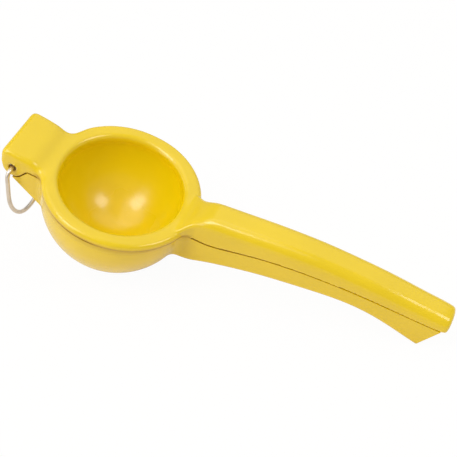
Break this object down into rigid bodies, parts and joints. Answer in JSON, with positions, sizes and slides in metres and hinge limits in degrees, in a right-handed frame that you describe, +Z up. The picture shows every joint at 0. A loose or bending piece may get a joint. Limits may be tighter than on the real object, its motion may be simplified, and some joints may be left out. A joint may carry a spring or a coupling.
{
  "type": "hinged lemon squeezer",
  "caption": "Hand-held citrus press of two hinged cast arms: an open press bowl in a flat ring closes into a drained cup, with long channel handles and a wire hanging bail.",
  "frame": {"origin": "middle of the bounding box in plan, on the worktop that the closed squeezer stands on, with its cup and the lower handle's tip touching", "axes": "+X from the hinge towards the free end of the handles, +Y across the squeezer, +Z up, so the ring's flat top leans down towards +X by about 15 degrees"},
  "size_m": [0.2112, 0.072, 0.0619],
  "materials": {
    "enamel": "glossy yellow enamel on a casting",
    "steel": "plain bright steel wire"
  },
  "bodies": {
    "lower_arm": {"lower_arm": "enamel", "hinge_pin": "steel"},
    "upper_arm": {"upper_arm": "enamel"},
    "hanging_bail": {"hanging_bail": "steel"}
  },
  "joints": [
    {"name": "arm_hinge", "type": "hinge", "parent": "lower_arm", "child": "upper_arm", "pos_m": [-0.09903, 0, 0.05169], "axis": [0, -1, 0], "range_deg": [0, 95]},
    {"name": "bail_swing", "type": "hinge", "parent": "lower_arm", "child": "hanging_bail", "pos_m": [-0.09903, 0, 0.05169], "axis": [0, -1, 0], "range_deg": [-120, 25]}
  ]
}
